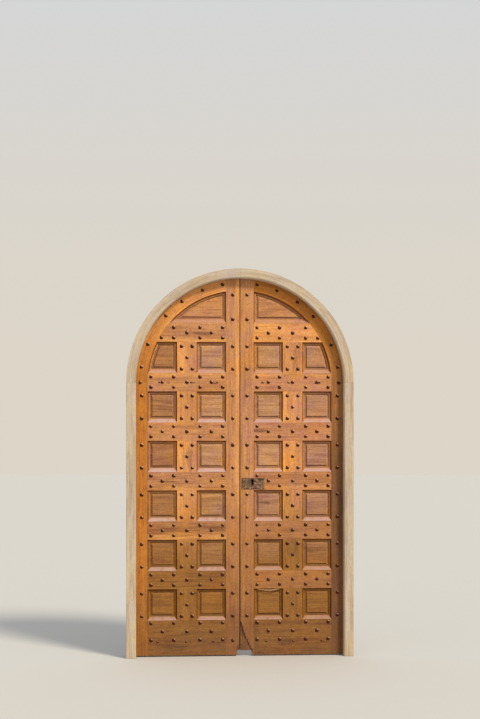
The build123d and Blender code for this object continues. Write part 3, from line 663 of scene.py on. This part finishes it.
def along_edge(start, end, share, is_arc):
    """Points at shares of an edge: a straight line, or the head's arc at an even turn."""
    start, end, share = np.array(start), np.array(end), np.asarray(share)[:, None]
    if not is_arc:
        return start + (end - start) * share
    centre = np.array((0.0, SPRINGING))
    first = math.atan2(*(start - centre)[::-1])
    last = math.atan2(*(end - centre)[::-1])
    reach = np.hypot(*(start - centre))
    turn = first + (last - first) * share
    return centre + reach * np.concatenate([np.cos(turn), np.sin(turn)], axis=1)


def ring(opening, side, foot, rounding):
    """One ring of the moulding: the opening's outline with its two lower corners rounded.

    A rounded corner is a parabola between the points a rounding away from it on both edges.
    """
    corners, arc = ring_corners(opening, side, foot)
    count = len(corners)
    radius = [rounding] * 2 + [0.0] * (count - 2)
    parts = []
    for place in range(count):
        following = (place + 1) % count
        start, end = corners[place], corners[following]
        cut_in, cut_out = (radius[near] / math.dist(start, end) for near in (place, following))
        steps = ARC_STEPS if arc == place else EDGE_STEPS
        share = cut_in + (1 - cut_in - cut_out) * np.linspace(0, 1, steps)
        parts.append(along_edge(start, end, share, arc == place))
    rounded = []
    bend = np.linspace(0, 1, CORNER_STEPS)[1:-1, None]
    for place in range(count):
        following = (place + 1) % count
        middle = 2 * bend * (1 - bend) * np.array(corners[following])
        first, last = parts[place][-1], parts[following][0]
        rounded += [parts[place], (1 - bend) ** 2 * first + middle + bend ** 2 * last]
    # The first edge is the foot: its faces are the sill, washed by rain and lit by a painted
    # highlight
    return np.concatenate(rounded), len(parts[0])


def moulding_profile(sizes):
    """Section of the moulding as side inset, foot inset, depth and share of the corner rounding.

    From the hidden back up the outer wall, over a small arris and down to the ledge, where the
    depth is a share t of the whole, the foot's inset t of the sill and the side's inset t to the
    power 2.3 of its width: a straight sill below, and a hollow at the sides and above.
    """
    t = np.linspace(0, 1, SLOPE_STEPS)
    slope = np.stack([sizes.slope_width * t ** 2.3, sizes.sill_width * t,
                      sizes.slope_depth * t + 0.3 * MM, t], axis=1)
    slope[0] = (0.5 * MM, 0.9 * MM, 0.35 * MM, 0.0)
    slope[1:, 0] = np.maximum(slope[1:, 0], (0.6 + 1.5 * t[1:]) * MM)
    inner, inner_foot = sizes.slope_width + sizes.ledge_width, sizes.sill_width + sizes.ledge_width
    ledge = sizes.slope_depth + 0.6 * MM
    rest = [(inner - 1.2 * MM, inner_foot - 1.2 * MM, ledge, 1.0),
            (inner, inner_foot, ledge + 1.2 * MM, 1.0), (inner, inner_foot, GROOVE_DEPTH, 1.0)]
    start = [(0.0, 0.0, GROOVE_DEPTH, 0.0), (0.0, 0.0, 1.2 * MM, 0.0)]
    return np.concatenate([start, slope, rest]), len(start), len(start) + len(slope) - 1


def wash_and_shade_on(points, foot_count, slope_start, slope_end, sign):
    """How pale each face of a moulding is from rain and painted highlight, and how dark from
    painted shade, as shares from 0 to 1.

    With t from the slope's outer edge to its inner one, the sill is washed by rain and lit by a
    painted highlight, most at 0.3. The other sides take painted shade all over up to 0.6, and
    from 0.9 on by 0.08 plus 0.65 times the square of how far they turn from the light.
    """
    washed, grimy = np.zeros(points.shape[:2]), np.zeros(points.shape[:2])
    sill, others = slice(foot_count - 1), slice(foot_count - 1, None)
    slope, ledge = slice(slope_start, slope_end), slice(slope_end + 1, slope_end + 3)
    t = np.linspace(0, 1, slope_end - slope_start)[:, None]
    washed[slope, sill] = np.interp(t, (0.0, 0.3, 1.0), (0.85, 1.0, 0.72))
    washed[slope_end, sill] = 0.5
    outline = points[slope_start + 1][:, [0, 2]]
    run = np.roll(outline, -1, axis=0) - outline
    run = run / np.maximum(np.hypot(run[:, 0], run[:, 1]), 0.01 * MM)[:, None]
    # The slope faces inwards, a quarter turn from its run: down under the top edge, and
    # to the left on the side that the light from the right misses
    turned = np.maximum(sign * run[:, 1], 0) * 0.75 + np.maximum(-sign * run[:, 0], 0) * 0.85
    turned = np.clip(turned, 0, 1)[others]
    inner = 0.08 + 0.65 * turned ** 2
    fade = inner + (1 - inner) * np.interp(t, (0.60, 0.90), (1.0, 0.0))
    grimy[slope, others] = fade * (0.85 + 0.15 * turned)
    # Painted shade in the crease by the ledge, deeper where it turns from the light
    grimy[ledge] = 0.8
    grimy[ledge, others] = 0.45 + 0.45 * turned
    return washed.ravel(), grimy.ravel()


def moulding_mesh(sizes, sign, draw):
    """Mouldings of a leaf: each ring of the profile follows the opening, closed both ways."""
    profile, slope_start, slope_end = moulding_profile(sizes)
    parts, layers = [], {"washed": [], "grimy": [], "tone": []}
    for opening in row_openings():
        rings = []
        for side, foot, depth, share in profile:
            outline, foot_count = ring(opening, side, foot, share * sizes.sill_corner)
            rings.append(np.column_stack([
                sign * outline[:, 0], np.full(len(outline), FACE + depth), outline[:, 1]]))
        points = np.stack(rings)
        faces = quads(*points.shape[:2], True, True).reshape(-1, 4)
        parts.append((points.reshape(-1, 3), faces))
        washed, grimy = wash_and_shade_on(points, foot_count, slope_start, slope_end, sign)
        layers["washed"].append(washed)
        layers["grimy"].append(grimy)
        layers["tone"].append(np.full(len(faces), draw.random()))
    return (*joined(parts), {title: np.concatenate(values) for title, values in layers.items()})


def corners_at(mesh, depth):
    """Corners of a CAD mesh at a depth, as places on the face: a pyramid's is its point."""
    corners = np.empty(len(mesh.vertices) * 3, dtype=np.float32)
    mesh.vertices.foreach_get("co", corners)
    corners = corners.reshape(-1, 3)
    found = corners[np.abs(corners[:, 1] - depth) < 0.05 * MM]
    return np.unique(np.round(found[:, [0, 2]].astype(float), 4), axis=0)


def block_middles(corners, width):
    """Middles of square blocks: half a width on from a corner with another a width right and up."""
    gap = np.abs(corners[:, None] + width - corners[None]).max(axis=2)
    return corners[gap.min(axis=1) < 0.3 * MM] + width / 2


def rounded_square(turns, power):
    """Reach of a rounded square of half width 1: (|cos| to a power plus |sin| to it) inverted."""
    return (np.abs(np.cos(turns)) ** power + np.abs(np.sin(turns)) ** power) ** (-1 / power)


def forged_heads(centres, half, rise, seat, shares, heights, sizes, draw, rough=1.0):
    """Forged heads: rings of a rounded square, rising in four flats to a blunt point.

    Ring k has reach shares[k] and height heights[k]; each head has its own size, turn, height
    and leaning point, and the point leans with the square of the height. Rise is negative for
    heads that stand out of the back.
    """
    shares, heights = np.array(shares), np.array(heights)
    around = np.linspace(0, 2 * np.pi, HEAD_TURNS, endpoint=False) + np.pi / HEAD_TURNS
    count, levels = len(centres), len(shares)
    size = half * (1 + rough * WIDTH_SPREAD * draw.standard_normal(count).clip(-1.6, 0.6))
    turn = sizes.stud_turn * draw.uniform(-1, 1, count)
    tall = rise * (1 - rough * draw.uniform(0, HEIGHT_LOSS, count))
    lean = rough * LEANING * half * draw.standard_normal((count, 2)).clip(-1.5, 1.5)
    wobble = draw.standard_normal((count, levels, HEAD_TURNS)).clip(-1.6, 1.0)
    edge = rounded_square(around, sizes.stud_corner) * (1 + rough * UNEVENNESS * wobble)
    reach = size[:, None, None] * shares[:, None] * edge
    angle = around + turn[:, None, None]
    bend = heights[:, None] ** 2
    x = centres[:, 0, None, None] + reach * np.cos(angle) + lean[:, 0, None, None] * bend
    z = centres[:, 1, None, None] + reach * np.sin(angle) + lean[:, 1, None, None] * bend
    y = seat - tall[:, None, None] * heights[:, None] + 0 * x
    rings = np.stack([x, y, z], axis=-1).reshape(count, -1, 3)
    root = np.stack([centres[:, 0], np.full(count, seat), centres[:, 1]], axis=-1)
    tip = np.stack([centres[:, 0] + lean[:, 0], seat - tall, centres[:, 1] + lean[:, 1]], axis=-1)
    points = np.concatenate([rings, root[:, None], tip[:, None]], axis=1)
    offsets = (np.arange(count) * points.shape[1])[:, None, None]
    return points.reshape(-1, 3), (tube_faces(levels, HEAD_TURNS) + offsets).reshape(-1, 4)


def lip_mesh(start, end, bow, width, thickness):
    """Loosened lip of a moulding: an oval section carried along a path that bows outwards.

    The path runs level from start to end and stands out of the face by bow times sin(pi t),
    sagging by as much; the section narrows to both ends by the root of that sine.
    """
    t = np.linspace(0, 1, LIP_STEPS)[:, None]
    turn = np.linspace(0, 2 * np.pi, LIP_TURNS, endpoint=False)[None, :]
    swell = np.sin(np.pi * t)
    taper = 0.25 + 0.75 * np.sqrt(swell)
    x = start[0] + (end[0] - start[0]) * t + 0 * turn
    y = FACE + 3 * MM - bow * swell + thickness / 2 * taper * np.sin(turn)
    z = start[1] + (end[1] - start[1]) * t - bow * swell + width / 2 * taper * np.cos(turn)
    points = np.stack([x, y, z], axis=-1)
    ends = points[[0, -1]].mean(axis=1)
    return np.concatenate([points.reshape(-1, 3), ends]), tube_faces(LIP_STEPS, LIP_TURNS)


# Operators, one for each piece or group of like pieces

class Step(bpy.types.Operator):
    """Common ground of the door's operators"""
    bl_options = {"REGISTER", "UNDO"}

    @property
    def sizes(self):
        """Sizes that the sidebar shows."""
        return bpy.context.scene.door_sizes

    @property
    def colours(self):
        """Colours that the sidebar shows."""
        return bpy.context.scene.door_colours


class DOOR_OT_stage(Step):
    """Pale floor, soft studio light and the camera"""
    bl_idname = "door.stage"
    bl_label = "Stage"

    def execute(self, context):
        scene = context.scene
        scene.view_settings.view_transform = "Standard"
        level_floor()
        studio_sky()
        key = bpy.data.lights.new("key", "SUN")
        key.energy = SUN_ENERGY
        key.angle = math.radians(SUN_WIDTH)
        key.color = SUN_TONE
        view = bpy.data.cameras.new("camera")
        view.lens = CAMERA_LENS
        view.sensor_width = CAMERA_FILM
        view.shift_y = CAMERA_SHIFT
        view.clip_end = CAMERA_REACH
        sun = bpy.data.objects.new("key", key)
        camera = bpy.data.objects.new("camera", view)
        camera.location = CAMERA_PLACE
        for item, turns in ((sun, SUN_TURNS), (camera, CAMERA_TURNS)):
            item.rotation_euler = Euler([math.radians(turn) for turn in turns])
            scene.collection.objects.link(item)
        scene.camera = camera
        return {"FINISHED"}


def level_floor():
    """Level round floor, wide enough to reach the horizon on every side."""
    turn = np.linspace(0, 2 * np.pi, FLOOR_CORNERS, endpoint=False)
    rim = FLOOR_RADIUS * np.stack([np.cos(turn), np.sin(turn), 0 * turn], axis=1)
    mesh = bpy.data.meshes.new("floor")
    mesh.from_pydata(rim, [], [list(range(FLOOR_CORNERS))])
    made, tree, shader = material("painted_plaster", 0.9)
    feed(shader, {"Base Color": (*FLOOR_TONE, 1.0)})
    mesh.materials.append(made)
    floor = bpy.data.objects.new("floor", mesh)
    bpy.context.scene.collection.objects.link(floor)


def studio_sky():
    """Sky light: at the horizon as pale and warm as the lit floor, and cooler above."""
    world = bpy.data.worlds.new("studio_sky")
    bpy.context.scene.world = world
    world.use_nodes = True
    tree = world.node_tree
    way = add(tree, "TexCoord").outputs["Generated"]
    upward = add(tree, "SeparateXYZ", {0: way}).outputs[2]
    tone = tinge(tree, HORIZON_TONE, ZENITH_TONE, (upward, 0.02, 0.40), blend="MIX")
    feed(tree.nodes["Background"], {"Color": tone, "Strength": SKY_STRENGTH})


def framing_members(shades):
    """Members of one timber, its name, upper and lower tone, grain and shift, and what differs."""
    tan, golden, rosy, orange = shades.tan, shades.golden, shades.rosy, shades.orange
    amber, brown, umber = shades.amber, shades.brown, shades.umber
    return (
        # The golden strip beside the meeting edge is a painted highlight where light catches the
        # edge
        (["left_meeting_stile"], "left_meeting_stile", tan, amber, UPRIGHT, 0.0,
         {"gap_shade_and_dirt": True, "side_tones": (-0.046, -0.016, golden)}),
        (["right_meeting_stile"], "right_meeting_stile", tan, amber, UPRIGHT, 1.0,
         {"gap_shade_and_dirt": True, "stains": crack_marks()}),
        (["left_muntins"], "left_muntins", golden, brown, UPRIGHT, 12.0,
         {"fall": (0.55, 1.10), "side_tones": (-MUNTIN_RIGHT, -MUNTIN_LEFT, rosy)}),
        (["right_muntins"], "right_muntins", golden, brown, UPRIGHT, 13.0,
         {"fall": (0.65, 1.30), "side_tones": (MUNTIN_LEFT, MUNTIN_RIGHT, rosy)}),
        (["left_hinge_stile"], "left_hinge_stile", orange, brown, UPRIGHT, 14.0,
         {"stains": [HINGE_STILE_CRACK], "fall": (0.10, 0.60)}),
        # The right hinge stile's dark umber is partly painted shade, where the jamb beside it
        # shades it
        (["right_hinge_stile"], "right_hinge_stile", amber, umber, UPRIGHT, 16.0,
         {"fall": (1.1, 1.85)}),
        # The left head turns golden toward its top: partly painted light, lifting it out of the
        # frame's shadow
        (["left_arch_rail"], "left_head", golden, orange, UPRIGHT, 9.0,
         {"round_head": True, "fall": (1.85, 2.40)}),
        (["right_arch_rail"], "right_head", orange, amber, UPRIGHT, 10.0,
         {"round_head": True, "fall": (1.75, 2.15)}),
        (["left_rail_1"], "top_rail", tan, tan, LEVEL, 2.0, {"edge_highlight": (0.032, 0.018)}),
        (["left_rail_2"], "second_rail", tan, tan, LEVEL, 2.0, {"edge_highlight": (0.086, 0.106)}),
        (["left_rail_3"], "third_rail", tan, tan, LEVEL, 2.0, {"edge_highlight": (0.100, 0.114)}),
        (["right_rail_1"], "golden_rail", golden, golden, LEVEL, 4.0, {}),
        (["right_rail_2"], "rosy_rail", rosy, rosy, LEVEL, 6.0, {"edge_highlight": (0.076, 0.104)}),
        (["right_rail_3"], "dusty_rail", rosy, rosy, LEVEL, 6.0, {}),
        (["right_rail_4"], "lock_rail", rosy, amber, LEVEL, 7.0,
         {"edge_highlight": (0.038, 0.020), "fall": (0.35, 1.9)}),
        (["right_rail_5", "right_rail_6"], "amber_rails", rosy, amber, LEVEL, 7.0,
         {"fall": (0.35, 1.9)}),
        (["left_rail_4"], "dull_rail", tan, brown, LEVEL, 8.0,
         {"streak": 0.8, "edge_highlight": (0.038, 0.016)}),
        (["left_rail_5"], "dripping_rail", tan, brown, LEVEL, 8.0,
         {"streak": 0.8, "edge_highlight": (0.060, 0.030)}),
        (["left_rail_6"] + both("bottom_rail"), "brown_rails", brown, umber, LEVEL, 8.5,
         {"streak": 0.7, "fall": (-0.2, 0.45)}),
    )


class DOOR_OT_framing(Step):
    """Stiles, rails, muntins and curved heads of both leaves"""
    bl_idname = "door.framing"
    bl_label = "Framing"

    def execute(self, context):
        for names, title, head, foot, grain, shift, settings in framing_members(self.colours):
            settings["stains"] = settings.get("stains", []) + marks_on(names)
            timber = oak("sawn_oak_" + title, head, foot, grain, shift, **settings)[0]
            dress(names, timber, self.sizes.arris)
        return {"FINISHED"}


class DOOR_OT_worn_places(Step):
    """Patch let in over the lock, and the split-off foot of the right meeting stile"""
    bl_idname = "door.worn_places"
    bl_label = "Worn places"

    def execute(self, context):
        shades = self.colours
        (left, _, bottom), (right, _, top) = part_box("lock_patch")
        across, middle = (left + right) / 2, (bottom + top) / 2
        # The first mark is the keyhole: its dark opening is painted shade
        marks = [(KEYHOLE_ACROSS, middle + KEYHOLE_RISE, 15 * MM, 31 * MM, 0.97),
                 (left, middle, 7 * MM, 60 * MM, 0.8),
                 (across, bottom, 90 * MM, 7 * MM, 0.8),
                 (left + 36 * MM, top - 22 * MM, 24 * MM, 4 * MM, 0.7),
                 (right - 38 * MM, bottom + 30 * MM, 28 * MM, 4 * MM, 0.7),
                 (right - 20 * MM, top - 10 * MM, 30 * MM, 5 * MM, 0.6)]
        arris = self.sizes.arris * 1.5
        timber = oak("weathered_oak_patch", shades.worn, shades.worn, LEVEL, 30.0, 1.2,
                     stains=marks, cracks=0.9)[0]
        dress(["lock_patch"], timber, arris)
        foot_top = high("right_split_foot", 2)
        rim = [(20 * MM, foot_top - 50 * MM, 22 * MM, 60 * MM, 0.6)] + crack_marks()
        timber = oak("weathered_oak_foot", shades.brown, shades.umber, UPRIGHT, 32.0, 1.0,
                     gap_shade_and_dirt=True, stains=rim, fall=(0.06, 0.20))[0]
        dress(["right_split_foot"], timber, arris)
        return {"FINISHED"}


class DOOR_OT_panels(Step):
    """Raised panels and the lining boards behind them"""
    bl_idname = "door.panels"
    bl_label = "Panels and boards"

    def execute(self, context):
        shades = self.colours
        # The outer panels differ in tone, and the change from the inner ones is at the muntins
        change = (MUNTIN_LEFT + 50 * MM, MUNTIN_RIGHT)
        left, right = (*change, shades.amber), (*change, shades.dusty)
        rows = ["_panels_row_%d" % row for row in range(1, 7)]
        knotty = "_panels_row_4"
        groups = (
            (["left" + row for row in rows], "left_panels", shades.panel, 18.0,
             {"side_tones": left}),
            (["right" + row for row in rows if row != knotty], "right_panels", shades.panel, 18.0,
             {"side_tones": right}),
            (both("arch_panel"), "arch_panels", shades.tan, 21.0, {}),
            (["right" + knotty], "stained_panel", shades.panel, 19.0,
             {"side_tones": right, "stains": PANEL_KNOT}),
        )
        for names, title, head, shift, settings in groups:
            timber = oak("planed_oak_" + title, head, shades.brown, LEVEL, shift, 0.6,
                         fielded=True, **settings)[0]
            dress(names, timber, self.sizes.arris)
        timber = oak("sawn_oak_boards", shades.bare, shades.bare, UPRIGHT, 20.0, 0.7,
                     mottling=0.4, board_pitch=BOARD_PITCH)[0]
        dress(both("lining_boards"), timber, self.sizes.arris)
        return {"FINISHED"}


class DOOR_OT_mouldings(Step):
    """Planted mouldings round the panels, with their wide sills, and a loosened lip"""
    bl_idname = "door.mouldings"
    bl_label = "Mouldings"

    def execute(self, context):
        made = planted_oak(self.colours)
        draw = np.random.default_rng(self.sizes.seed)
        for side, sign in SIDES.items():
            points, faces, layers = moulding_mesh(self.sizes, sign, draw)
            piece = surface(side + "_planted_mouldings", points, faces, side + "_leaf",
                            "moulding_oak", made, layers)
            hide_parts(side + "_mouldings")
        bare = self.colours.bare
        surface("loosened_lip", *lip_mesh(LIP_START, LIP_END, *LIP_SIZES), "right_leaf",
                "moulding_oak", oak("split_oak_lip", bare, bare, LEVEL, 40.0)[0])
        return {"FINISHED"}


class DOOR_OT_studs(Step):
    """Forged stud heads, and the heads and nuts of the straps' bolts"""
    bl_idname = "door.studs"
    bl_label = "Studs"

    def execute(self, context):
        sizes = self.sizes
        made = forged_iron("forged_stud_iron", self.colours.iron, self.colours.bloom_and_glint, 1.0)
        for number, side in enumerate(SIDES):
            draw = np.random.default_rng(sizes.seed + number)
            node = side + "_studs_and_bolts"
            mesh, back = nodes[node].data, high(node, 1)
            parts = []
            for rise, width in ((FACE - low(node, 1), sizes.stud_width),
                                (sizes.bolt_rise, sizes.bolt_width)):
                centres = corners_at(mesh, FACE - rise)
                parts.append(forged_heads(centres, width / 2, rise, FACE, HEAD_REACH, HEAD_RISE,
                                          sizes, draw))
            centres = block_middles(corners_at(mesh, back), sizes.nut_width)
            parts.append(forged_heads(centres, sizes.nut_width / 2, -sizes.nut_height,
                                      back - sizes.nut_height, NUT_REACH, NUT_RISE, sizes, draw,
                                      NUT_ROUGHNESS))
            piece = surface(side + "_forged_heads", *joined(parts), side + "_leaf",
                            "forged_iron", made)
            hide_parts(node)
        return {"FINISHED"}


class DOOR_OT_ironwork(Step):
    """Strap hinges, pintles, slide bolts, guides and the rim lock"""
    bl_idname = "door.ironwork"
    bl_label = "Ironwork"

    def execute(self, context):
        names = both("upper_strap", "lower_strap") + [
            "pintles", "top_bolt", "bottom_bolt", "bolt_guides", "top_bolt_keeper",
            "lock_case", "lock_bolt", "lock_keeper"]
        dress(names, forged_iron("hammered_iron", self.colours.iron, INDOOR_BLOOM_AND_GLINT, 0.6),
              self.sizes.iron_arris)
        return {"FINISHED"}


class DOOR_OT_surround(Step):
    """Jambs and round head that the leaves hang in"""
    bl_idname = "door.surround"
    bl_label = "Frame"

    def execute(self, context):
        limed = self.colours.limed
        for names, title, shift, is_round in (
                (both("jamb"), "limed_oak_jambs", 22.0, False),
                (both("arch_segment"), "limed_oak_head", 24.0, True)):
            timber = oak(title, limed, limed, UPRIGHT, shift, round_head=is_round, mottling=0.3)[0]
            dress(names, timber, self.sizes.arris)
        return {"FINISHED"}


class DOOR_PT_sidebar(bpy.types.Panel):
    """Sizes, colours and steps of the door"""
    bl_idname = "DOOR_PT_sidebar"
    bl_label = "Arched oak door"
    bl_space_type = "VIEW_3D"
    bl_region_type = "UI"
    bl_category = "Oak Door"

    def draw(self, context):
        layout = self.layout
        for group in (context.scene.door_sizes, context.scene.door_colours):
            box = layout.box()
            for name in group.__annotations__:
                box.prop(group, name)
        for step in STEPS:
            layout.operator(step.bl_idname)


STEPS = (DOOR_OT_stage, DOOR_OT_framing, DOOR_OT_worn_places, DOOR_OT_panels, DOOR_OT_mouldings,
         DOOR_OT_studs, DOOR_OT_ironwork, DOOR_OT_surround)
CLASSES = (DoorSizes, DoorColours, *STEPS, DOOR_PT_sidebar)


def register():
    """Makes the classes and the sizes and colours known to Blender."""
    for item in CLASSES:
        bpy.utils.register_class(item)
    bpy.types.Scene.door_sizes = PointerProperty(type=DoorSizes)
    bpy.types.Scene.door_colours = PointerProperty(type=DoorColours)


def unregister():
    """Removes them again, the last one first."""
    del bpy.types.Scene.door_colours
    del bpy.types.Scene.door_sizes
    for item in reversed(CLASSES):
        bpy.utils.unregister_class(item)


def main():
    """Makes the sizes and colours known to Blender and builds everything in order."""
    register()
    bpy.ops.door.stage()
    bpy.ops.door.framing()
    bpy.ops.door.worn_places()
    bpy.ops.door.panels()
    bpy.ops.door.mouldings()
    bpy.ops.door.studs()
    bpy.ops.door.ironwork()
    bpy.ops.door.surround()


if __name__ == "__main__":
    main()
